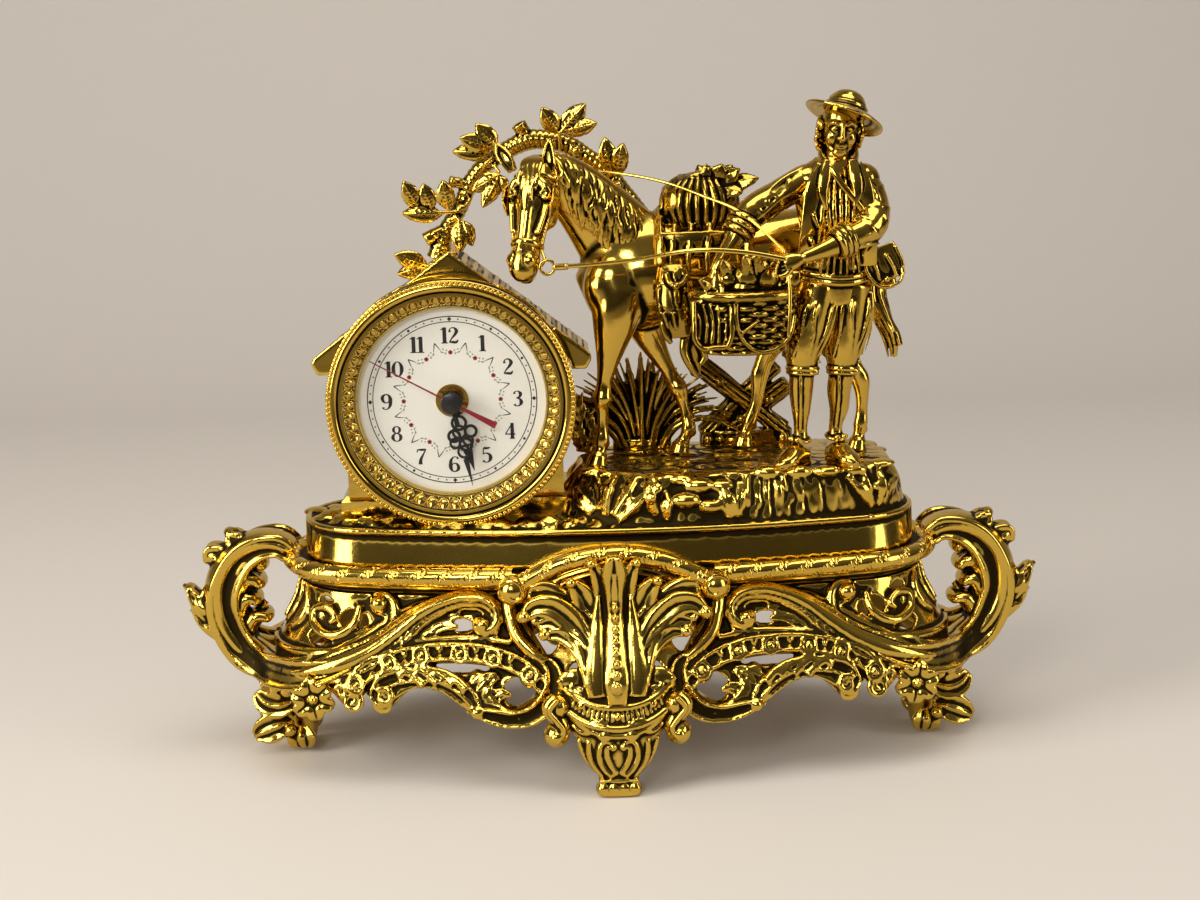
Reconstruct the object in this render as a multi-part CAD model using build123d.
"""Gilt-brass mantel clock: a house-shaped clock beside a led pack horse, on a pierced scroll base.

Millimetres, +Z up, front towards -Y. The origin is on the table under the middle of the base.
"""
import os
from math import asin, atan2, cos, degrees, hypot, pi, radians, sin, sqrt

from build123d import *

# Base plan: a four-arc oval, measured along the middle of the rope moulding
RIM_HALF_LENGTH = 160.0
RIM_HALF_DEPTH = 58.0
RIM_END_RADIUS = 45.0
RIM_Z = 100.0
ROPE_RADIUS = 4.5
LEDGE_BOTTOM = 91.0
LEDGE_TOP = 101.0
LEDGE_WIDTH = 18.0
ARCH_HALF_SPAN = 48.0
ARCH_RISE = 16.0
ARCH_BALL_RADIUS = 8.0

# Base side: how far the pierced wall swells out of the plan oval at each height
WALL_SWELL = ((26.0, 13.0), (38.0, 16.0), (50.0, 13.0), (65.0, 6.0), (80.0, -2.0), (90.0, -5.0))
WALL_THICKNESS = 4.0
WALL_FOOT_Z = 40.0
SCROLL_RELIEF = 3.0

# Loop handles and feet
HANDLE_HALF_DEPTH = 12.0
HANDLE_LEAF_HALF_DEPTH = 8.0
HANDLE_TIP_X = 216.0
SIDE_FOOT_X = 161.0
CENTRE_FOOT_Y = 82.0

# Ground casting
GROUND_INSET = 7.5
GROUND_Z = 102.0
GROUND_BAND_TOP = 120.0
GROUND_WALL = 4.0
MOUND_TOP = 145.0
MOUND_X = 63.0

# Clock house
CLOCK_X = -75.5
CLOCK_Z = 181.0
HOUSE_FRONT = 15.0
HOUSE_DEPTH = 46.0
HOUSE_HALF_WIDTH = 53.0
HOUSE_WALL = 3.0
PLINTH_HALF_WIDTH = 57.0
PLINTH_TOP = 132.0
EAVE_HALF_WIDTH = 68.0
EAVE_Z = 198.0
APEX_Z = 251.0
ROOF_THICKNESS = 5.0
CASE_HOLE_RADIUS = 50.5

# Clock front, as distances in front of the row's XZ plane
BEZEL_RADIUS = 60.0
BEZEL_BACK = 15.0
BEZEL_FRONT = 37.0
BEAD_RING_RADIUS = 58.4
BEAD_RADIUS = 1.6
GLASS_RADIUS = 54.0
GLASS_BACK = 33.4
GLASS_THICKNESS = 2.0
SIGHT_RADIUS = 45.5
DIAL_FACE = 23.0
DIAL_THICKNESS = 0.8

# Hands, shown at about half past five
HOUR_LENGTH = 36.0
MINUTE_LENGTH = 43.0
SECOND_LENGTH = 44.0
SECOND_TAIL = 24.0
HAND_THICKNESS = 0.6
HOUR_ANGLE = 164.0
MINUTE_ANGLE = 168.0
SECOND_ANGLE = 299.0
HOUR_HAND_Z = 26.6
MINUTE_HAND_Z = 28.4
SECOND_HAND_Z = 30.4

# Quartz movement
CASE_SIDE = 56.0
CASE_FRONT = 22.0
CASE_SPLIT = 8.0
CASE_BACK = 5.0
CASE_WALL = 1.2
BATTERY_RADIUS = 7.1
BATTERY_LENGTH = 49.0
BATTERY_Y = -18.5
BATTERY_DEPTH = 13.5
BUSH_RADIUS = 4.0
HOUR_TUBE_RADIUS = 2.5
CANNON_RADIUS = 1.75
SECONDS_ARBOR_RADIUS = 0.6
PIVOT_RADIUS = 0.5
KNOB_SHAFT_RADIUS = 1.0
RUNNING_GAP = 0.05

# Motion work and drive train: tooth counts and modules
TRAIN_MODULE = 0.3
CANNON_TEETH = 12
MOTION_TEETH = 36
HOUR_TEETH = 40
MOTION_PINION_TEETH = 10
SETTING_TEETH = 12
SECONDS_TEETH = 48
THIRD_PINION_TEETH = 8
THIRD_TEETH = 40
ROTOR_TEETH = 8
MOTION_DIRECTION = -30.0
TRAIN_DIRECTION = 150.0

CLOCK = Plane(origin=(CLOCK_X, 0, CLOCK_Z), x_dir=(1, 0, 0), z_dir=(0, -1, 0))
FACING = Plane.XZ


def export(shape, node):
    export_step(shape, f"parts/{node}.step")


def solid_group(shapes):
    return Compound(children=[solid for shape in shapes for solid in shape.solids()])


def placed(shape):
    """A shape of the clock's own frame, moved to its place in the house."""
    return CLOCK.location * shape


def disc(radius, low, high):
    return Pos(0, 0, low) * Cylinder(radius, high - low, align=(Align.CENTER, Align.CENTER, Align.MIN))


def ring(outer, inner, low, high):
    return disc(outer, low, high) - disc(inner, low - 1, high + 1)


def block(x_range, y_range, z_range):
    size = [high - low for low, high in (x_range, y_range, z_range)]
    low_corner = (x_range[0], y_range[0], z_range[0])
    return Pos(*low_corner) * Box(*size, align=(Align.MIN, Align.MIN, Align.MIN))


def section(centre, direction, across, along, side=(0, 1, 0)):
    """A closed oval face square to a direction; across is its half width towards side."""
    plane = Plane(origin=centre, x_dir=side, z_dir=direction)
    turns = [2 * pi * step / 10 for step in range(10)]
    points = [plane.from_local_coords((across * cos(t), along * sin(t), 0)) for t in turns]
    return Face(Wire([Edge.make_spline(points, periodic=True)]))


def evenly_spaced(stations):
    """Stations set at equal distances along a smooth curve through the given ones, so a loft stays fair."""
    lengths = [0.0]
    for before, after in zip(stations, stations[1:]):
        lengths.append(lengths[-1] + sqrt(sum((b - a) ** 2 for a, b in zip(before[:3], after[:3]))))
    last = len(stations) - 1
    slopes = []
    for index in range(last + 1):
        low, high = max(index - 1, 0), min(index + 1, last)
        span = lengths[high] - lengths[low]
        slopes.append([(b - a) / span for a, b in zip(stations[low], stations[high])])
    spaced = []
    for step in range(last + 3):
        length = lengths[-1] * step / (last + 2)
        index = max(i for i in range(last) if lengths[i] <= length)
        span = lengths[index + 1] - lengths[index]
        t = (length - lengths[index]) / span
        weights = (2 * t**3 - 3 * t**2 + 1, 3 * t**2 - 2 * t**3,
                   (t**3 - 2 * t**2 + t) * span, (t**3 - t**2) * span)
        parts = (stations[index], stations[index + 1], slopes[index], slopes[index + 1])
        spaced.append([sum(w * v for w, v in zip(weights, values)) for values in zip(*parts)])
    return spaced


def limb(stations, side=(0, 1, 0), foot=None):
    """A rounded casting lofted through stations of (x, y, z, half width, half height).

    The last section is square to foot where that direction is given.
    """
    spaced = evenly_spaced(stations)
    points = [Vector(*station[:3]) for station in spaced]
    faces = []
    for index, station in enumerate(spaced):
        before = points[max(index - 1, 0)]
        after = points[min(index + 1, len(points) - 1)]
        direction = after - before
        if foot and index == len(spaced) - 1:
            direction = Vector(*foot)
        faces.append(section(points[index], direction, station[3], station[4], side))
    return loft(faces)


def leaf(base, tip, half_width, half_thickness, side):
    """A pointed leaf from its stalk to its tip, widest a little below the middle."""
    start = Vector(*base)
    reach = Vector(*tip) - start
    shares = ((0.0, 0.25), (0.2, 0.75), (0.45, 1.0), (0.75, 0.6), (1.0, 0.08))
    faces = []
    for along, share in shares:
        faces.append(section(start + reach * along, reach, half_width * share,
                             half_thickness * max(share, 0.3), side))
    return loft(faces)


def band(points, widths):
    """A flat strip of changing width along a curve through points of (x, z)."""
    left, right = [], []
    for index, (x, z) in enumerate(points):
        before = points[max(index - 1, 0)]
        after = points[min(index + 1, len(points) - 1)]
        length = hypot(after[0] - before[0], after[1] - before[1])
        normal = ((before[1] - after[1]) / length, (after[0] - before[0]) / length)
        half = widths[index] / 2
        left.append((x + normal[0] * half, z + normal[1] * half))
        right.append((x - normal[0] * half, z - normal[1] * half))
    outline = [Spline(*left), Line(left[-1], right[-1]), Spline(*right[::-1]), Line(right[0], left[0])]
    return make_face(outline)


def gear(teeth, module, low, high, phase):
    """A clock wheel with straight-flanked teeth; one tooth points along phase, in degrees."""
    pitch_radius = teeth * module / 2
    root = pitch_radius - 1.15 * module
    tip = pitch_radius + 0.8 * module
    pitch = 360 / teeth
    points = []
    for tooth in range(teeth):
        middle = phase + tooth * pitch
        for offset, radius in ((-0.27, root), (-0.09, tip), (0.09, tip), (0.27, root)):
            turn = radians(middle + offset * pitch)
            points.append((radius * cos(turn), radius * sin(turn)))
    blank = make_face(Polyline(*points, close=True))
    return Pos(0, 0, low) * extrude(blank, high - low)


# Plan oval: end arcs of RIM_END_RADIUS and long arcs that meet them without a corner
END_CENTRE = RIM_HALF_LENGTH - RIM_END_RADIUS
LONG_RADIUS = (END_CENTRE**2 + RIM_HALF_DEPTH**2 - RIM_END_RADIUS**2) / 2
LONG_RADIUS /= RIM_HALF_DEPTH - RIM_END_RADIUS
LONG_CENTRE = LONG_RADIUS - RIM_HALF_DEPTH
MEETING_ANGLE = degrees(atan2(LONG_CENTRE, END_CENTRE))


def oval_arcs(offset):
    end = RIM_END_RADIUS + offset
    long = LONG_RADIUS + offset
    sweep_end = 2 * MEETING_ANGLE
    sweep_long = 180 - 2 * MEETING_ANGLE
    return [CenterArc((END_CENTRE, 0), end, -MEETING_ANGLE, sweep_end),
            CenterArc((0, -LONG_CENTRE), long, MEETING_ANGLE, sweep_long),
            CenterArc((-END_CENTRE, 0), end, 180 - MEETING_ANGLE, sweep_end),
            CenterArc((0, LONG_CENTRE), long, 180 + MEETING_ANGLE, sweep_long)]


def oval(offset, height):
    return Pos(0, 0, height) * make_face(oval_arcs(offset))


def oval_prism(offset, low, high):
    return extrude(oval(offset, low), high - low)


def oval_front(x, offset):
    """The depth of the oval's front edge at x, on its long arc."""
    return sqrt((LONG_RADIUS + offset) ** 2 - x**2) - LONG_CENTRE


def swollen_wall(offset):
    """The full bombe body of the base, swelled further out by offset."""
    return loft([oval(swell + offset, height) for height, swell in WALL_SWELL])


def through_front(faces):
    """Flat shapes drawn in front view, cut through the front half of the base."""
    reach = RIM_HALF_DEPTH + 60
    return Part() + [extrude(FACING * face, reach) for face in faces]


def both_halves(faces):
    return faces + [mirror(face, Plane.YZ) for face in faces]


# Rope rim: a moulded ledge that carries the ground casting, with a rope bead that arches over the leaves
def make_rim():
    ledge = oval_prism(-1, LEDGE_BOTTOM, LEDGE_TOP)
    ledge -= oval_prism(-1 - LEDGE_WIDTH, LEDGE_BOTTOM - 1, LEDGE_TOP + 1)
    gap_angle = degrees(asin(ARCH_HALF_SPAN / LONG_RADIUS))
    run = 90 - gap_angle - MEETING_ANGLE
    arcs = [CenterArc((0, LONG_CENTRE), LONG_RADIUS, gap_angle - 90, run),
            CenterArc((END_CENTRE, 0), RIM_END_RADIUS, -MEETING_ANGLE, 2 * MEETING_ANGLE),
            CenterArc((0, -LONG_CENTRE), LONG_RADIUS, MEETING_ANGLE, run)]
    rope_path = Pos(0, 0, RIM_Z) * Wire(arcs)
    rope = sweep(Plane(origin=rope_path @ 0, z_dir=rope_path % 0) * Circle(ROPE_RADIUS), rope_path)
    depth = oval_front(0, 0) + ROPE_RADIUS
    foot_z = RIM_Z - 4
    ends = [(-ARCH_HALF_SPAN, -depth, foot_z), (0, -depth, foot_z + ARCH_RISE),
            (ARCH_HALF_SPAN, -depth, foot_z)]
    arch_path = ThreePointArc(*ends)
    arch = sweep(Plane(origin=arch_path @ 0, z_dir=arch_path % 0) * Circle(ROPE_RADIUS), arch_path)
    seam_in_front = Rot(0, 0, -90)
    arch += [Pos(*ends[side]) * seam_in_front * Sphere(ARCH_BALL_RADIUS) for side in (0, 2)]
    return ledge + rope + mirror(rope, Plane.YZ) + arch + mirror(arch, Plane.XZ)


# Pierced wall: bombe shell cut to the openwork outline, with the scrolls standing proud of it
def frieze_outline():
    lower = [(20, 60), (30, 46), (40, 35), (52, 32), (62, 37), (74, 29), (72, 40), (84, 47), (96, 49),
             (106, 41), (114, 37), (120, 45), (128, 39), (137, 45), (150, WALL_FOOT_Z)]
    end = RIM_HALF_LENGTH + 25
    rest = Polyline((150, WALL_FOOT_Z), (end, WALL_FOOT_Z), (end, LEDGE_BOTTOM), (0, LEDGE_BOTTOM), (0, 60),
                    (20, 60))
    return make_face([Spline(*lower), rest])


def frieze_windows():
    shapes = [((46, 47), (8, 7)), ((75, 58.5), (20, 3.2)), ((76, 76), (10, 3)), ((33, 70), (6, 7)),
              ((126, 77), (7, 5)), ((144, 68), (5, 4)), ((140, 83), (4, 3.5))]
    return [Pos(*centre) * Ellipse(*radii) for centre, radii in shapes]


def frieze_scrolls():
    main_scroll = band([(168, 47.5), (141, 56), (121, 66), (106, 76), (91, 84), (75, 87), (61, 85), (55, 79)],
                       [13, 14, 12, 10, 8, 7, 6, 5])
    bead_band = band([(128, 47), (115, 57), (100, 63), (80, 66), (62, 65), (50, 61), (40, 55)], [7] * 7)
    loop = band([(65, 52), (60, 42), (49, 37), (38, 42), (32, 53), (36, 63), (46, 78)], [6, 7, 7, 7, 6, 6, 7])
    swag = band([(112, 42), (104, 49), (95, 53), (82, 51), (72, 44), (64, 40)], [5, 6, 7, 7, 6, 5])
    volutes = [((60, 77), 5.5), ((128, 47), 6), ((41, 55), 5), ((112, 42), 5), ((112, 85), 5), ((66, 53), 4)]
    buttons = [Pos(*centre) * Circle(radius) for centre, radius in volutes]
    return [main_scroll, bead_band, loop, swag] + buttons


def make_front_frieze(inner_body, wall_body, scroll_body):
    web = [face - frieze_windows() for face in [frieze_outline()]]
    wall = (wall_body - inner_body) & through_front(both_halves(web))
    scrolls = (scroll_body - inner_body) & through_front(both_halves(frieze_scrolls()))
    return wall + scrolls


# Loop handles: a channelled band that leaves the rim, turns over and runs into the main scroll
HANDLE_PATH = ((160, 103, 4.5), (169, 108, 5), (182, 106, 6), (193, 97, 6.5), (198, 84, 7), (197, 69, 7),
               (189, 55, 6.5), (176, 45, 6), (164, 41, 5))
HANDLE_LEAVES = (((196, 64), (HANDLE_TIP_X, 86)), ((192, 54), (213, 73)), ((190, 98), (189, 115)),
                 ((194, 94), (175, 97)), ((195, 82), (176, 86)), ((188, 58), (174, 76)))


def make_right_handle(scroll_body, rim_seat):
    loop = limb([(x, 0, z, HANDLE_HALF_DEPTH, half) for x, z, half in HANDLE_PATH])
    leafage = [leaf((root[0], 0, root[1]), (tip[0], 0, tip[1]), HANDLE_LEAF_HALF_DEPTH, 4.5, (0, 1, 0))
               for root, tip in HANDLE_LEAVES]
    return loop + leafage - scroll_body - rim_seat


# Feet: leaves and berries under each end, an acanthus leaf with a square foot at the front and back
def make_right_flower_foot():
    x = SIDE_FOOT_X
    cluster = limb([(x + 2, 0, 47, 12, 12), (x + 1, 0, 38, 15, 13.5), (x, 0, 26, 13, 12), (x, 0, 16, 7, 7)])
    for side in (-1, 1):
        cluster += leaf((x + 1, side * 2, 26), (x + 2, side * 6, -4), 9, 7, (1, 0, 0))
        cluster += leaf((x + 3, side * 4, 24), (x + 24, side * 11, 9), 9, 5, (0, 1, 0))
        cluster += leaf((x - 3, side * 5, 25), (x - 16, side * 15, 10), 8, 5, (0, 0, 1))
        for across, out, up in ((7, 14.5, 31), (-6, 15.5, 28), (0, 16.5, 38), (-13, 14, 36)):
            cluster += Pos(x + across, side * out, up) * Sphere(5.5)
    return cluster & block((0, 250), (-100, 100), (0, WALL_FOOT_Z))


def acanthus_lobes():
    """Blades that rise from the hub and follow the swell of the wall, curling out at their tips."""
    heights = (50, 64, 78, 92, 105)
    depths = (79, 74, 67, 65, 69)
    lobes = []
    for reach, width, top in ((0, 12, 1.0), (19, 9, 0.93), (-19, 9, 0.93), (38, 8.5, 0.62), (-38, 8.5, 0.62)):
        stations = []
        for step, (height, depth) in enumerate(zip(heights, depths)):
            along = step / 4
            z = heights[0] + (height - heights[0]) * top
            fullness = (0.8, 1.0, 1.0, 0.85, 0.25)[step]
            stations.append((reach * (0.3 + 0.7 * along), -depth + abs(reach) * 0.05, z,
                             width * fullness, 4.0))
        lobes.append(limb(stations, (1, 0, 0)))
    return lobes


def make_front_leaf_foot(scroll_body):
    y = -CENTRE_FOOT_Y
    pad = Pos(0, y, 2.5) * Box(22, 14, 5)
    pad = fillet(pad.edges().filter_by(Axis.Z), 2)
    stations = ((4, 9, 6.4, 82), (11, 8.5, 6.2, 81.5), (16, 15, 8, 80.5), (28, 25, 9, 79),
                (41, 29, 9, 78), (52, 22, 8, 78))
    body = loft([section((0, -depth, height), (0, 0, 1), half_width, half_depth, (1, 0, 0))
                 for height, half_width, half_depth, depth in stations])
    volutes = [Pos(side * x, y + 4, z) * Rot(90, 0, 0) * Cylinder(radius, 14)
               for side in (-1, 1) for x, z, radius in ((27, 26, 6.5), (26, 43, 6))]
    hub = [Pos(x, y - 1, 51) * Sphere(6.5) for x in (-11, 0, 11)]
    return pad + body + volutes + hub + acanthus_lobes() - scroll_body


# Ground: an oval dish with a polished band, low under the house and built up under the horse
def make_ground():
    dish = oval_prism(-GROUND_INSET, GROUND_Z, GROUND_BAND_TOP)
    stations = ((GROUND_BAND_TOP - 1, 0, 162, 86, 40), (132, 0.5, 158, 80, 38), (MOUND_TOP, 1, 152, 74, 35))
    mound = loft([Pos(MOUND_X, y, height) * RectangleRounded(length, depth, corner)
                  for height, y, length, depth, corner in stations])
    hollow = oval_prism(-GROUND_INSET - GROUND_WALL, GROUND_Z - 1, GROUND_BAND_TOP - GROUND_WALL)
    hollow += block((MOUND_X - 62, MOUND_X + 62), (-27, 27), (GROUND_Z - 1, MOUND_TOP - GROUND_WALL))
    return dish + mound - hollow


# Clock house: open-backed case on a plinth, under a gabled roof with a polished pediment
def gable(half_width, low, high, front, back):
    outline = Polyline((-half_width, low), (half_width, low), (0, high), close=True)
    return Pos(CLOCK_X, 0, 0) * Pos(0, -front, 0) * extrude(FACING * make_face(outline), -(front + back))


def make_house_case():
    back = HOUSE_DEPTH - HOUSE_FRONT
    low, high = PLINTH_TOP, EAVE_Z
    left, right = CLOCK_X - HOUSE_HALF_WIDTH, CLOCK_X + HOUSE_HALF_WIDTH
    outer = block((left, right), (-HOUSE_FRONT, back), (low, high))
    inner = block((left + HOUSE_WALL, right - HOUSE_WALL), (-HOUSE_FRONT + HOUSE_WALL, back + 1),
                  (low + HOUSE_WALL, high + 1))
    return outer - inner - placed(disc(CASE_HOLE_RADIUS, HOUSE_FRONT - HOUSE_WALL, HOUSE_FRONT + 1))


def make_house_roof():
    back = HOUSE_DEPTH - HOUSE_FRONT + 3
    front = HOUSE_FRONT
    slope = (APEX_Z - EAVE_Z) / EAVE_HALF_WIDTH
    inset = ROOF_THICKNESS * sqrt(1 + slope**2)
    outer = gable(EAVE_HALF_WIDTH, EAVE_Z, APEX_Z, front, back)
    inner = gable(EAVE_HALF_WIDTH - inset / slope, EAVE_Z - 1, APEX_Z - inset,
                  front - ROOF_THICKNESS, back + 1)
    roof = outer - inner - placed(disc(CASE_HOLE_RADIUS, HOUSE_FRONT - ROOF_THICKNESS, HOUSE_FRONT + 1))
    ridge = roof.edges().filter_by(Axis.Y).sort_by(Axis.Z)[-1]
    return fillet(ridge, 4)


def make_house_plinth():
    left, right = CLOCK_X - PLINTH_HALF_WIDTH, CLOCK_X + PLINTH_HALF_WIDTH
    back = HOUSE_DEPTH - HOUSE_FRONT + 2
    plinth = block((left, right), (-HOUSE_FRONT, back), (GROUND_BAND_TOP, PLINTH_TOP))
    plinth = chamfer(plinth.edges().group_by(Axis.Z)[-1], 2.5)
    inner = block((left + 8, right - 8), (-HOUSE_FRONT + 5, back - 5), (GROUND_BAND_TOP - 1, PLINTH_TOP - 4))
    return plinth - inner


# Clock front: turned bezel, glass, sight ring and dial
def make_bezel():
    outline = Polyline((CASE_HOLE_RADIUS - 1, BEZEL_BACK), (BEZEL_RADIUS - 1, BEZEL_BACK),
                       (BEZEL_RADIUS - 1, BEZEL_FRONT - 4), (BEZEL_RADIUS, BEZEL_FRONT - 3),
                       (BEZEL_RADIUS, BEZEL_FRONT), (GLASS_RADIUS + 2, BEZEL_FRONT),
                       (GLASS_RADIUS - 2, BEZEL_FRONT - 1.2),
                       (GLASS_RADIUS - 2, GLASS_BACK + GLASS_THICKNESS),
                       (GLASS_RADIUS, GLASS_BACK + GLASS_THICKNESS), (GLASS_RADIUS, BEZEL_BACK + 2),
                       (CASE_HOLE_RADIUS - 1, BEZEL_BACK + 2), close=True)
    body = revolve(Plane.XZ * make_face(outline), Axis.Z)
    beads = Pos(0, 0, BEZEL_FRONT) * Torus(BEAD_RING_RADIUS, BEAD_RADIUS)
    return placed(body + beads)


def make_sight_ring():
    outline = Polyline((SIGHT_RADIUS, DIAL_FACE), (GLASS_RADIUS, DIAL_FACE), (GLASS_RADIUS, GLASS_BACK),
                       (GLASS_RADIUS - 2, GLASS_BACK), (SIGHT_RADIUS + 1, DIAL_FACE + 4),
                       (SIGHT_RADIUS, DIAL_FACE + 3), close=True)
    return placed(revolve(Plane.XZ * make_face(outline), Axis.Z))


def make_glass():
    return placed(disc(GLASS_RADIUS, GLASS_BACK, GLASS_BACK + GLASS_THICKNESS))


def make_dial():
    plate = ring(GLASS_RADIUS, BUSH_RADIUS + 0.2, DIAL_FACE - DIAL_THICKNESS, DIAL_FACE)
    spacer = ring(GLASS_RADIUS, GLASS_RADIUS - 4, BEZEL_BACK + 2, DIAL_FACE - DIAL_THICKNESS)
    return placed(plate + spacer)


# Hands: flat scrolled openwork on round bosses
def make_hour_hand():
    rings = [((0, 11), 4.0), ((-4.2, 16.5), 3.4), ((4.2, 16.5), 3.4), ((0, 22), 3.6)]
    flat = Circle(5) + Rectangle(3, 8, align=(Align.CENTER, Align.MIN))
    for centre, radius in rings:
        flat += Pos(*centre) * (Circle(radius) - Circle(radius - 1.4))
    flat += make_face(Polyline((-2.4, 25), (0, 24), (2.4, 25), (0, HOUR_LENGTH), close=True))
    flat -= Circle(HOUR_TUBE_RADIUS)
    hand = Pos(0, 0, HOUR_HAND_Z) * extrude(flat, HAND_THICKNESS)
    return placed(Rot(0, 0, -HOUR_ANGLE) * hand)


def make_minute_hand():
    rings = [((0, 15), 3.6), ((-3.2, 20), 2.9), ((3.2, 20), 2.9), ((0, 25), 3.4)]
    flat = Circle(4.4) + Rectangle(2.4, 12, align=(Align.CENTER, Align.MIN))
    for centre, radius in rings:
        flat += Pos(*centre) * (Circle(radius) - Circle(radius - 1.2))
    flat += make_face(Polyline((-1.4, 29), (0, 28), (1.4, 29), (0, MINUTE_LENGTH), close=True))
    flat -= Circle(CANNON_RADIUS)
    hand = Pos(0, 0, MINUTE_HAND_Z) * extrude(flat, HAND_THICKNESS)
    return placed(Rot(0, 0, -MINUTE_ANGLE) * hand)


def make_second_hand():
    needle = Polyline((-0.45, 0), (-0.2, SECOND_LENGTH), (0.2, SECOND_LENGTH), (0.45, 0),
                      (1.6, -SECOND_TAIL), (-1.6, -SECOND_TAIL), close=True)
    flat = make_face(needle) + Circle(4.8) - Circle(SECONDS_ARBOR_RADIUS)
    hand = Pos(0, 0, SECOND_HAND_Z) * extrude(flat, HAND_THICKNESS)
    cap = disc(4.8, SECOND_HAND_Z + HAND_THICKNESS, SECOND_HAND_Z + 2.2)
    cap = fillet(cap.edges().sort_by(Axis.Z)[-1], 1)
    return placed(Rot(0, 0, -SECOND_ANGLE) * (hand + cap))


def make_fixing_nut():
    washer = ring(8, BUSH_RADIUS, DIAL_FACE, DIAL_FACE + 0.6)
    nut = Pos(0, 0, DIAL_FACE + 0.6) * extrude(RegularPolygon(6.2, 6) - Circle(BUSH_RADIUS), 2)
    return placed(washer + nut)


# Quartz movement: a snap-together box with its battery, motor, train and motion work
def polar(radius, angle):
    return radius * cos(radians(angle)), radius * sin(radians(angle))


MOTION_DISTANCE = (CANNON_TEETH + MOTION_TEETH) * TRAIN_MODULE / 2
MOTION_PINION_MODULE = 2 * MOTION_DISTANCE / (HOUR_TEETH + MOTION_PINION_TEETH)
SETTING_DISTANCE = MOTION_DISTANCE + (SETTING_TEETH + MOTION_TEETH) * TRAIN_MODULE / 2
THIRD_DISTANCE = (SECONDS_TEETH + THIRD_PINION_TEETH) * TRAIN_MODULE / 2
ROTOR_DISTANCE = THIRD_DISTANCE + (THIRD_TEETH + ROTOR_TEETH) * TRAIN_MODULE / 2
MOTION_SPOT = Pos(*polar(MOTION_DISTANCE, MOTION_DIRECTION))
SETTING_SPOT = Pos(*polar(SETTING_DISTANCE, MOTION_DIRECTION))
THIRD_SPOT = Pos(*polar(THIRD_DISTANCE, TRAIN_DIRECTION))
ROTOR_SPOT = Pos(*polar(ROTOR_DISTANCE, TRAIN_DIRECTION))
POST_RADIUS = 0.6
INNER_FRONT = CASE_FRONT - 1
INNER_BACK = CASE_BACK + 1


def make_movement_case():
    half = CASE_SIDE / 2
    inner = half - CASE_WALL
    box = block((-half, half), (-half, half), (CASE_SPLIT, CASE_FRONT))
    box -= block((-inner, inner), (-inner, inner), (CASE_SPLIT - 1, INNER_FRONT))
    box += disc(BUSH_RADIUS, CASE_FRONT, HOUR_HAND_Z - 0.6)
    box -= disc(HOUR_TUBE_RADIUS + RUNNING_GAP, 0, 60)
    for spot in (THIRD_SPOT, ROTOR_SPOT, SETTING_SPOT):
        box -= spot * disc(PIVOT_RADIUS + RUNNING_GAP, 0, 60)
    post = disc(POST_RADIUS, 16.6, INNER_FRONT)
    return placed(box + MOTION_SPOT * post)


def make_movement_cover():
    half = CASE_SIDE / 2
    inner = half - CASE_WALL
    cover = block((-half, half), (-half, half), (CASE_BACK, CASE_SPLIT))
    cover -= block((-inner, inner), (-inner, inner), (INNER_BACK, CASE_SPLIT + 1))
    window = BATTERY_RADIUS + 0.6
    cover -= block((-26, 26), (BATTERY_Y - window, BATTERY_Y + window), (0, CASE_SPLIT + 1))
    cover -= SETTING_SPOT * disc(KNOB_SHAFT_RADIUS + RUNNING_GAP, 0, 60)
    for spot in (THIRD_SPOT, ROTOR_SPOT, Pos(0, 0)):
        cover -= spot * disc(PIVOT_RADIUS + RUNNING_GAP, 0, 60)
    return placed(cover)


def make_battery():
    body = Rot(0, 90, 0) * Cylinder(BATTERY_RADIUS, BATTERY_LENGTH)
    body += Pos(BATTERY_LENGTH / 2 + 0.5, 0, 0) * Rot(0, 90, 0) * Cylinder(2.6, 1)
    return placed(Pos(0, BATTERY_Y, BATTERY_DEPTH) * body)


def make_motor():
    coil_x, coil_y = -13.5, 20.0
    stator = block((-24, -3), (4, 22), (16.8, 18.2)) - block((-20, -7), (13, 18), (0, 60))
    stator -= [ROTOR_SPOT * disc(2.8, 0, 60), THIRD_SPOT * disc(1.7, 0, 60)]
    winding = Pos(coil_x, coil_y, 17.5) * Rot(0, 90, 0) * (Cylinder(3.2, 12) - Box(4.2, 4.2, 14))
    return placed(solid_group([stator, winding]))


def make_circuit_board():
    board = block((4, 22), (10, 24), (10, 10.8))
    chip = Pos(13, 17, 10.8) * Cylinder(3, 1.2, align=(Align.CENTER, Align.CENTER, Align.MIN))
    reach = CASE_SIDE / 2 - CASE_WALL
    contact_y = (BATTERY_Y - 4, BATTERY_Y + 4)
    plus = block((reach - 0.4, reach), contact_y, (9, 18))
    minus = block((-reach, -reach + 0.4), contact_y, (9, 18))
    return placed(solid_group([board + chip, plus, minus]))


def make_cannon_pinion():
    arbor = disc(CANNON_RADIUS, 18.4, MINUTE_HAND_Z + HAND_THICKNESS)
    pinion = gear(CANNON_TEETH, TRAIN_MODULE, 16.8, 18.4, MOTION_DIRECTION)
    return placed(arbor + pinion - disc(SECONDS_ARBOR_RADIUS + RUNNING_GAP, 0, 60))


def make_hour_wheel():
    tube = disc(HOUR_TUBE_RADIUS, 19.4, HOUR_HAND_Z + HAND_THICKNESS)
    wheel = gear(HOUR_TEETH, MOTION_PINION_MODULE, 19.4, 20.4, MOTION_DIRECTION)
    return placed(tube + wheel - disc(CANNON_RADIUS + RUNNING_GAP, 0, 60))


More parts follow.
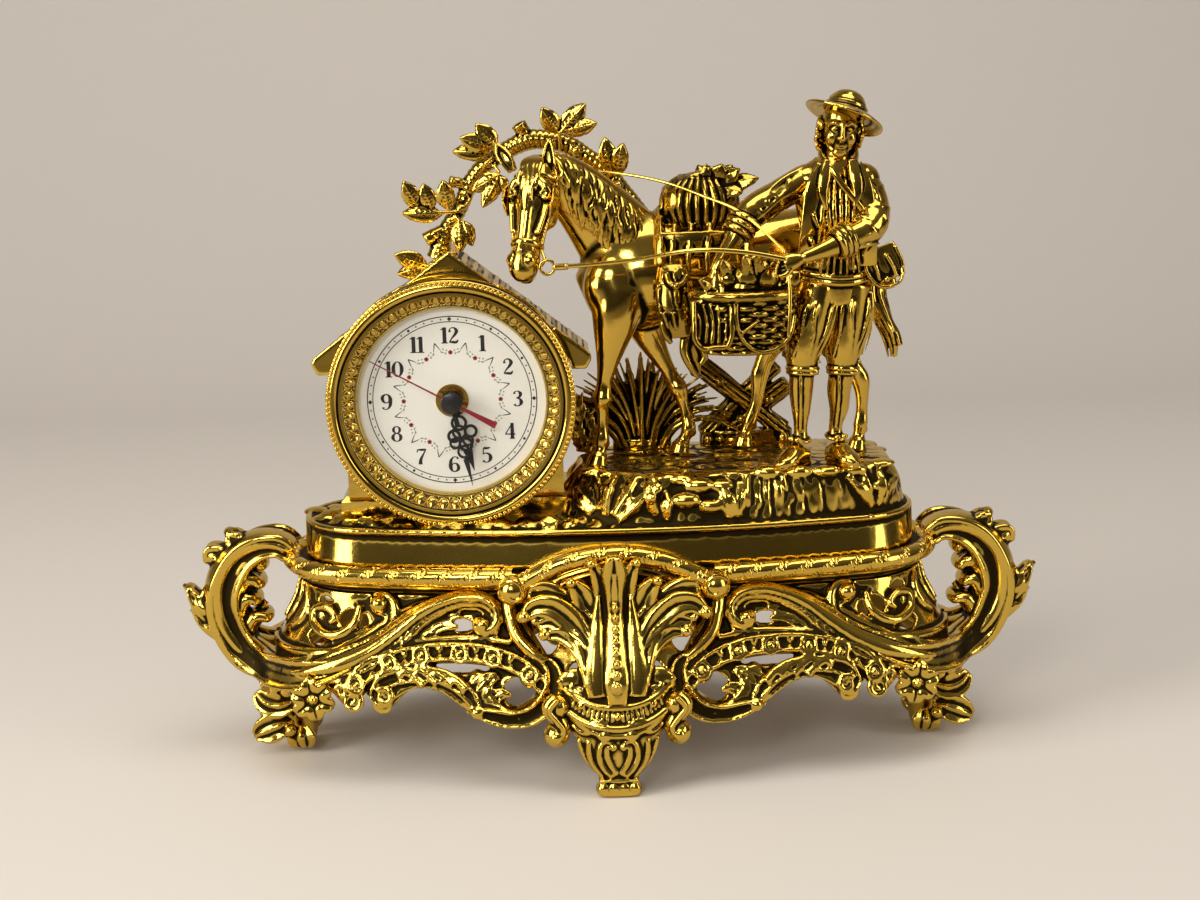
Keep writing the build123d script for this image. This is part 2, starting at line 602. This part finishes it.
def make_motion_wheel():
    back = MOTION_DIRECTION + 180
    wheel = gear(MOTION_TEETH, TRAIN_MODULE, 17, 18.2, back + 180 / MOTION_TEETH)
    pinion = gear(MOTION_PINION_TEETH, MOTION_PINION_MODULE, 18.2, 20.6, back + 180 / MOTION_PINION_TEETH)
    return placed(MOTION_SPOT * (wheel + pinion - disc(POST_RADIUS + RUNNING_GAP, 0, 60)))


def make_setting_knob():
    shaft = disc(KNOB_SHAFT_RADIUS, 4.4, 20.6)
    pivot = disc(PIVOT_RADIUS, 20.6, CASE_FRONT - 0.3)
    pinion = gear(SETTING_TEETH, TRAIN_MODULE, 16.9, 18.3, MOTION_DIRECTION + 180)
    grip = Pos(0, 0, 0.4) * extrude(RegularPolygon(6.5, 24), 4)
    return placed(SETTING_SPOT * (shaft + pivot + pinion + grip))


def make_seconds_wheel():
    arbor = disc(SECONDS_ARBOR_RADIUS, INNER_BACK + 0.3, SECOND_HAND_Z + HAND_THICKNESS)
    arbor += disc(PIVOT_RADIUS, CASE_BACK + 0.2, INNER_BACK + 0.3)
    return placed(arbor + gear(SECONDS_TEETH, TRAIN_MODULE, 11, 12, TRAIN_DIRECTION))


def pivoted_arbor(radius):
    arbor = disc(radius, INNER_BACK + 0.3, INNER_FRONT - 0.3)
    return arbor + disc(PIVOT_RADIUS, CASE_BACK + 0.2, CASE_FRONT - 0.2)


def make_third_wheel():
    back = TRAIN_DIRECTION + 180
    pinion = gear(THIRD_PINION_TEETH, TRAIN_MODULE, 10.8, 12.2, back + 180 / THIRD_PINION_TEETH)
    wheel = gear(THIRD_TEETH, TRAIN_MODULE, 14, 15, TRAIN_DIRECTION)
    return placed(THIRD_SPOT * (pivoted_arbor(0.7) + pinion + wheel))


def make_rotor():
    back = TRAIN_DIRECTION + 180
    pinion = gear(ROTOR_TEETH, TRAIN_MODULE, 13.8, 15.2, back + 180 / ROTOR_TEETH)
    return placed(ROTOR_SPOT * (pivoted_arbor(0.7) + pinion + disc(2.2, 16.5, 18.5)))


# Branch: a gnarled arch from the roof ridge over the horse's neck, with cut stubs and leaves
BRANCH_PATH = [(-82, 20, 246), (-77, 20, 260), (-70, 20, 271), (-64, 20, 284), (-54, 21, 294), (-40, 22, 301),
               (-27, 22, 303), (-12, 22, 297), (0, 22, 288), (10, 22, 276), (19, 21, 263), (27, 20, 248)]
LEAF_SPRAYS = (((-52, 296), ((-61, 311), (-72, 298), (-68, 305))),
               ((-70, 272), ((-96, 284), (-87, 283), (-98, 269), (-78, 284))),
               ((-74, 265), ((-65, 252), (-70, 249))), ((-54, 293), ((-63, 278), (-58, 271))),
               ((-19, 300), ((-28, 318), (-7, 319.5), (-2, 310))), ((4, 284), ((2, 303), (11, 300))),
               ((-81, 248), ((-103, 248), (-102, 239))))


def make_branch(roof):
    radii = (5.0, 4.6, 4.4, 4.4, 4.4, 4.6, 5.0, 5.0, 5.0, 5.2, 5.6, 6.0)
    arch = limb([(*point, radius, radius) for point, radius in zip(BRANCH_PATH, radii)])
    stubs = [limb([(-77, 20, 260, 3, 3), (-82, 18, 259, 3, 3), (-88, 17, 255, 3.4, 3.4)]),
             limb([(-37, 22, 302, 3.4, 3.4), (-38, 22, 306, 3.4, 3.4), (-40, 22, 310, 3.8, 3.8)]),
             limb([(-66, 20, 280, 2.6, 2.6), (-70, 19, 282, 2.6, 2.6), (-75, 18, 283, 2.8, 2.8)])]
    return arch + stubs - roof


def make_branch_leaves(branch, roof):
    leaves = []
    for (stalk_x, stalk_z), tips in LEAF_SPRAYS:
        for count, (tip_x, tip_z) in enumerate(tips):
            depth = 17 - 3 * (count % 2)
            broadside = (stalk_z - tip_z, 0, tip_x - stalk_x)
            blade = leaf((stalk_x, 20, stalk_z), (tip_x, depth, tip_z), 5, 1.6, broadside)
            leaves.append(blade - branch - roof)
    return solid_group(leaves)


# Pack horse, cast in sections that are brazed together
def make_horse_trunk():
    barrel = limb([(-11, 0, 228, 7, 10), (-5, 0, 230, 14, 18), (8, 1, 236, 20, 28), (25, 2, 240, 21, 28),
                   (50, 5, 239, 21, 26), (78, 8, 239, 21, 26), (102, 11, 242, 19, 25), (118, 12, 242, 15, 21),
                   (128, 12, 241, 8, 12)])
    neck = limb([(20, 1, 236, 13, 24), (6, -1, 256, 11.5, 21), (-7, -4, 272, 9.5, 17), (-18, -7, 283, 8, 14),
                 (-27, -10, 290, 6.5, 10)])
    return barrel + neck


def make_horse_head(trunk):
    skull = limb([(-27, -9, 296, 6, 6), (-30, -14, 291, 9, 9), (-34, -20, 278, 12, 11),
                  (-37, -26, 262, 8.5, 9), (-39, -31, 249, 8.5, 8), (-39.5, -33, 241, 7.5, 7),
                  (-40, -34, 238, 4, 4)], (1, 0.2, 0))
    ears = [leaf((-24, -10, 292), (-25, -9, 306), 3.6, 2.4, (1, 0, 0)),
            leaf((-38, -13, 290), (-46, -12, 302), 3.6, 2.4, (1, 0, 1))]
    return skull + ears - trunk


HOOF_Z = MOUND_TOP + 5
LEG_STATIONS = {
    "horse_near_foreleg": [(6, -12, 218, 8, 10), (2, -14, 200, 6, 6.5), (-2, -14, 182, 4.4, 4.4),
                           (-3, -14, 168, 2.9, 2.9), (-3, -14, 157, 3.5, 3.5),
                           (-5, -15, HOOF_Z, 3.8, 4.2), (-5, -15, MOUND_TOP, 4.8, 5.4)],
    "horse_far_foreleg": [(16, 12, 216, 8, 10), (25, 11, 197, 6, 6.5), (35, 10, 179, 4.4, 4.4),
                          (40, 9, 165, 2.9, 2.9), (41, 8, 156, 3.5, 3.5),
                          (37, 8, HOOF_Z, 3.8, 4.2), (37, 8, MOUND_TOP, 4.8, 5.4)],
    "horse_near_hindleg": [(106, 2, 232, 8, 15), (113, 3, 208, 7, 9), (119, 4, 194, 5, 6),
                           (126, 5, 180, 3.8, 5), (128, 6, 165, 2.9, 3.1), (127, 6, 156, 3.5, 3.7),
                           (126, 6, HOOF_Z, 3.8, 4.2), (126, 6, MOUND_TOP, 4.8, 5.4)],
    "horse_far_hindleg": [(100, 21, 228, 8, 14), (90, 21, 205, 7, 9), (82, 21, 194, 5, 6),
                          (78, 21, 183, 3.8, 5), (76, 21, 167, 2.9, 3.1), (72, 21, 157, 3.5, 3.7),
                          (70, 21, HOOF_Z, 3.8, 4.2), (70, 21, MOUND_TOP, 4.8, 5.4)],
}


def make_horse_tail(trunk):
    return limb([(122, 12, 254, 3, 3), (131, 13, 248, 4, 4), (136, 13, 232, 5, 5), (138, 13, 212, 5, 5),
                 (137, 12, 196, 2, 2)]) - trunk


# Load: panniers on both sides, a ribbed bundle on top with leaves, and a hanging pouch
PANNIER_CENTRE_X = 65.0
PANNIER_REACH = 38.0
PANNIER_FLOOR = 203.0
PANNIER_RIM = 232.0


def make_pannier(side, cutters):
    stations = ((PANNIER_FLOOR, 17, 9), (210, 21, 11.5), (222, 23, 13), (PANNIER_RIM, 24, 14))
    tub = loft([section((PANNIER_CENTRE_X, side * PANNIER_REACH, height), (0, 0, 1),
                        half_x, half_y, (1, 0, 0)) for height, half_x, half_y in stations])
    fruit = [Pos(PANNIER_CENTRE_X + x, side * (PANNIER_REACH + y), PANNIER_RIM + 2) * Sphere(radius)
             for x, y, radius in ((-13, 0, 7.5), (0, 3, 8), (13, 0, 7.5))]
    rim = limb_ring(PANNIER_CENTRE_X, side * PANNIER_REACH, PANNIER_RIM, 24, 14, 2)
    pannier = tub + fruit + rim
    for cutter in cutters:
        pannier -= cutter
    return pannier


def limb_ring(x, y, z, half_x, half_y, radius):
    """A rolled oval rim: a larger oval plate with its edges rounded, lying flat."""
    flat = section((x, y, z - radius), (0, 0, 1), half_x + radius, half_y + radius, (1, 0, 0))
    plate = extrude(flat, 2 * radius)
    return fillet(plate.edges(), radius * 0.8)


def make_bundle(trunk):
    core = limb([(30, -2, 271, 9, 8), (36, -2, 272, 14, 11), (47, -2, 273, 16, 13), (58, -2, 272, 14, 11),
                 (64, -2, 271, 9, 8)])
    ribs = [Pos(x, -2, 272.5) * Rot(0, 90, 0) * Torus(reach, 1.8)
            for x, reach in ((38, 11.6), (47, 13.2), (56, 11.6))]
    tips = ((50, -6, 291), (60, -4, 290), (74, -8, 284), (68, 6, 287))
    leaves = [leaf((56, -3, 279), tip, 5, 1.8, (0.5, 1, 0)) for tip in tips]
    return core + ribs + leaves - trunk


def make_pouch(trunk):
    bag = limb([(33, -23, 244, 3, 6), (33, -26, 235, 5, 8), (34, -27, 222, 6, 9), (35, -26, 210, 4, 6)])
    skin = limb([(41, -24, 214, 3, 6), (41, -23, 203, 3.4, 5), (43, -22, 190, 2, 2.4)])
    return bag + skin - trunk


# Carter, cast in sections: a man in hat, jacket, knee breeches and buckled shoes
MAN_Y = -26.0


def make_man_torso():
    stations = ((111, 229, 23, 13), (111, 242, 18.5, 12), (110, 256, 17.5, 12), (109, 270, 19, 12.5),
                (109, 282, 19, 11.5), (110, 290, 13, 9), (111, 295, 6, 6), (111.5, 299, 5.5, 5.5))
    return loft([section((x, MAN_Y, height), (0, 0, 1), half_x, half_y, (1, 0, 0))
                 for x, height, half_x, half_y in stations])


HEAD_CENTRE = (112, MAN_Y - 2, 308)


def make_man_head(torso):
    x, y, z = HEAD_CENTRE
    skull = limb([(x - 0.5, y, z - 13, 3.5, 3.5), (x - 0.3, y - 0.5, z - 9, 6.4, 6.8), (x, y, z - 2, 8, 9),
                  (x, y + 0.5, z + 5, 8.2, 9), (x, y + 0.5, z + 10, 6, 6.5)], (1, 0, 0))
    return skull - torso


HAT_TILT = Pos(HEAD_CENTRE[0] + 1, HEAD_CENTRE[1] + 1, HEAD_CENTRE[2] + 6) * Rot(4, 10, 0)


def make_man_hat(head):
    edge = [Spline((0, 12), (6, 11.4), (9.6, 7.5), (10.6, 2.5), (14, 0.6), (18.5, -0.6)),
            Line((18.5, -0.6), (18.2, -1.8)), Spline((18.2, -1.8), (13, -0.8), (9, -1.2)),
            Line((9, -1.2), (0, -1.2)), Line((0, -1.2), (0, 12))]
    return HAT_TILT * revolve(Plane.XZ * make_face(edge), Axis.Z) - head


ARM_STATIONS = {
    "man_basket_arm": [(96, -26, 283, 8, 8), (84, -28, 277, 7.5, 7.5), (68, -33, 268, 6.6, 7),
                       (60, -38, 256, 5, 5.4), (53, -42, 246, 3.4, 4), (50, -44, 240, 2.6, 3)],
    "man_rein_arm": [(122, -27, 283, 8, 8), (126, -31, 273, 7.5, 7.5), (125, -40, 262, 6.6, 7),
                     (110, -48, 256, 5.4, 5.8), (96, -52, 251, 3.6, 4), (87, -53, 248, 4.4, 4.4),
                     (82, -53, 246, 2.6, 2.6)],
}
SOLE_Z = MOUND_TOP + 4
MAN_LEG_STATIONS = {
    "man_front_leg": [(102, -27, 236, 10, 10), (97, -29, 214, 10, 10), (95, -29, 201, 9, 9),
                      (94, -29, 193, 6, 6), (94, -28, 180, 6, 6.4), (94, -27, 166, 4, 4),
                      (93, -27, 149, 3.8, 4.2)],
    "man_rear_leg": [(119, -25, 236, 10, 10), (115, -25, 214, 10, 10), (113, -25, 201, 9, 9),
                     (112, -25, 193, 6, 6), (111, -24, 180, 6, 6.4), (110, -23, 166, 4, 4),
                     (111, -23, 149, 3.8, 4.2)],
}
SHOE_STATIONS = {
    "man_front_leg": [(97, -23, SOLE_Z, 4, 3.6), (92, -28, SOLE_Z + 0.5, 4.4, 4.4),
                      (87, -32, SOLE_Z - 0.4, 3.5, 4), (83.5, -35, SOLE_Z - 1.5, 2, 2.4)],
    "man_rear_leg": [(108, -18, SOLE_Z, 4, 3.6), (111, -23, SOLE_Z + 0.5, 4.4, 4.4),
                     (114, -29, SOLE_Z - 0.4, 3.5, 4), (116.5, -33.5, SOLE_Z - 1.5, 2, 2.4)],
}


def make_man_leg(name, cutters):
    leg = limb(MAN_LEG_STATIONS[name], foot=(0, 0, -1))
    for cutter in cutters:
        leg -= cutter
    return leg + limb(SHOE_STATIONS[name], (0, 0, 1))


def make_satchel(cutters):
    bag = Pos(133, -24, 240) * Rot(0, -14, 0) * Box(9, 16, 19)
    bag = fillet(bag.edges(), 2.5)
    for cutter in cutters:
        bag -= cutter
    return bag


# Reins: flat brass wire from the bit to the carter's hand, with a hanging end
REIN_RADIUS = 0.9
BIT_RING = (-27.5, -36, 246)


def wire(points, radii):
    path = FilletPolyline(*points, radius=radii)
    return sweep(Plane(origin=path @ 0, z_dir=path % 0) * Circle(REIN_RADIUS), path)


def make_reins(cutters):
    lower = wire([(-23, -36, 246), (10, -46, 249), (44, -54, 255), (84, -55, 249)], [60, 60])
    upper = wire([(-7, 8, 288), (28, -10, 284), (62, -38, 272), (84, -53, 251)], [40, 40])
    hanging = wire([(84, -55, 244), (85, -58, 232), (84, -58, 213)], [15])
    pieces = [lower, upper, hanging]
    for cutter in cutters:
        pieces = [piece - cutter for piece in pieces]
    return solid_group(pieces)


def make_bridle(head):
    rings = Pos(*BIT_RING) * Rot(90, 0, 0) * Torus(3.4, 1)
    noseband = limb([(-37.5, -28, 256, 10.2, 10.4), (-38, -29, 254, 10.2, 10.2),
                     (-38.5, -30, 252, 10, 10)], (1, 0.2, 0))
    return noseband - head + rings


# Undergrowth behind the horse: a fan of grass, crossed logs and sprigs
def make_grass():
    blades = []
    count = 11
    for step in range(count):
        lean = -42 + 84 * step / (count - 1)
        length = 50 - 12 * abs(step - 5) / 5
        root = (18 + lean * 0.16, 24, MOUND_TOP - 0.01)
        tip = (18 + length * sin(radians(lean)), 26, MOUND_TOP + length * cos(radians(lean)))
        blades.append(leaf(root, tip, 2.4, 4, (0, 1, 0)))
    clump = Pos(18, 24, MOUND_TOP) * extrude(Ellipse(15, 5), 5)
    sprigs = [leaf((-12, 20, MOUND_TOP), tip, 4, 2, (0, 1, 0)) for tip in ((-14, 18, 174), (-6, 18, 160))]
    foot = Pos(-11, 20, MOUND_TOP) * extrude(Ellipse(5, 4), 3)
    floor = block((-60, 140), (-20, 60), (MOUND_TOP - 20, MOUND_TOP))
    return solid_group([(clump + blades) - floor, (foot + sprigs) - floor])


def make_logs():
    runs = [((44, 30, 190), (92, 32, 150)), ((50, 33, 149), (88, 33, 186)), ((94, 30, 176), (58, 34, 149))]
    logs = Part()
    for start, end in runs:
        logs += limb([(*start, 4, 4), (*[(a + b) / 2 for a, b in zip(start, end)], 4.4, 4.4), (*end, 4, 4)])
    foot = Pos(72, 32, MOUND_TOP) * extrude(Ellipse(24, 6), 7)
    return logs + foot - block((0, 140), (0, 60), (MOUND_TOP - 20, MOUND_TOP))


# Fixing studs: screws and nuts under the ground casting that draw the group down onto the base
STUD_PLACES = ((-95, 0), (95, 0))
STUD_RADIUS = 2.5
BRIDGE_Z = 86.0


def make_bridges():
    bars = []
    for x, y in STUD_PLACES:
        bar = block((x - 7, x + 7), (-38, 38), (BRIDGE_Z + 1, LEDGE_BOTTOM))
        bars.append(bar - Pos(x, y, 0) * disc(STUD_RADIUS + 0.3, 0, 200))
    return solid_group(bars)


def make_studs():
    studs = []
    for x, y in STUD_PLACES:
        top = GROUND_BAND_TOP - GROUND_WALL
        stud = disc(STUD_RADIUS, BRIDGE_Z - 7, top)
        nut = Pos(0, 0, BRIDGE_Z - 4) * extrude(RegularPolygon(5, 6), 5)
        studs.append(Pos(x, y, 0) * (stud + nut))
    return solid_group(studs)


os.makedirs("parts", exist_ok=True)

inner_body = swollen_wall(-WALL_THICKNESS)
wall_body = swollen_wall(0)
scroll_body = swollen_wall(SCROLL_RELIEF)

rim = make_rim()
front_frieze = make_front_frieze(inner_body, wall_body, scroll_body)
back_frieze = mirror(front_frieze, Plane.XZ)
handle = make_right_handle(scroll_body, oval_prism(ROPE_RADIUS, LEDGE_BOTTOM, RIM_Z + ROPE_RADIUS))
flower_foot = make_right_flower_foot()
leaf_foot = make_front_leaf_foot(scroll_body) - rim
export(rim, "rim_moulding")
export(front_frieze, "front_frieze")
export(back_frieze, "back_frieze")
export(handle, "right_handle")
export(mirror(handle, Plane.YZ), "left_handle")
export(flower_foot, "right_flower_foot")
export(mirror(flower_foot, Plane.YZ), "left_flower_foot")
export(leaf_foot, "front_leaf_foot")
export(mirror(leaf_foot, Plane.XZ), "back_leaf_foot")
export(make_ground(), "ground_casting")
export(make_bridges(), "fixing_bridges")
export(make_studs(), "fixing_studs")

roof = make_house_roof()
export(make_house_case(), "house_case")
export(roof, "house_roof")
export(make_house_plinth(), "house_plinth")
export(make_bezel(), "bezel")
export(make_glass(), "glass")
export(make_sight_ring(), "sight_ring")
export(make_dial(), "dial")
export(make_hour_hand(), "hour_hand")
export(make_minute_hand(), "minute_hand")
export(make_second_hand(), "second_hand")
export(make_fixing_nut(), "fixing_nut")
export(make_movement_case(), "movement_case")
export(make_movement_cover(), "movement_cover")
export(make_battery(), "battery")
export(make_motor(), "drive_motor")
export(make_circuit_board(), "circuit_board")
export(make_cannon_pinion(), "cannon_pinion")
export(make_hour_wheel(), "hour_wheel")
export(make_motion_wheel(), "motion_wheel")
export(make_setting_knob(), "setting_knob")
export(make_seconds_wheel(), "seconds_wheel")
export(make_third_wheel(), "third_wheel")
export(make_rotor(), "rotor")

branch = make_branch(roof)
trunk = make_horse_trunk()
branch = branch - trunk
export(branch, "branch")
export(make_branch_leaves(branch, roof), "branch_leaves")
head = make_horse_head(trunk)
export(trunk, "horse_trunk")
export(head, "horse_head")
for leg_name, stations in LEG_STATIONS.items():
    export(limb(stations, foot=(0, 0, -1)) - trunk, leg_name)
export(make_horse_tail(trunk), "horse_tail")
export(make_bundle(trunk), "pack_bundle")
export(make_pouch(trunk), "saddle_pouch")

torso = make_man_torso()
man_head = make_man_head(torso)
arms = {name: limb(stations, (0, 0.6, 1)) - torso for name, stations in ARM_STATIONS.items()}
export(torso, "man_torso")
export(man_head, "man_head")
export(make_man_hat(man_head), "man_hat")
export(make_pannier(-1, [trunk, arms["man_basket_arm"]]), "near_pannier")
export(make_pannier(1, [trunk]), "far_pannier")
for arm_name, arm in arms.items():
    export(arm, arm_name)
front_leg = make_man_leg("man_front_leg", [torso])
rear_leg = make_man_leg("man_rear_leg", [torso, front_leg])
export(front_leg, "man_front_leg")
export(rear_leg, "man_rear_leg")
export(make_satchel([torso, rear_leg, *arms.values()]), "satchel")
export(make_reins(list(arms.values()) + [trunk]), "reins")
export(make_bridle(head), "bridle")
export(make_grass(), "grass_sheaf")
export(make_logs(), "fallen_logs")
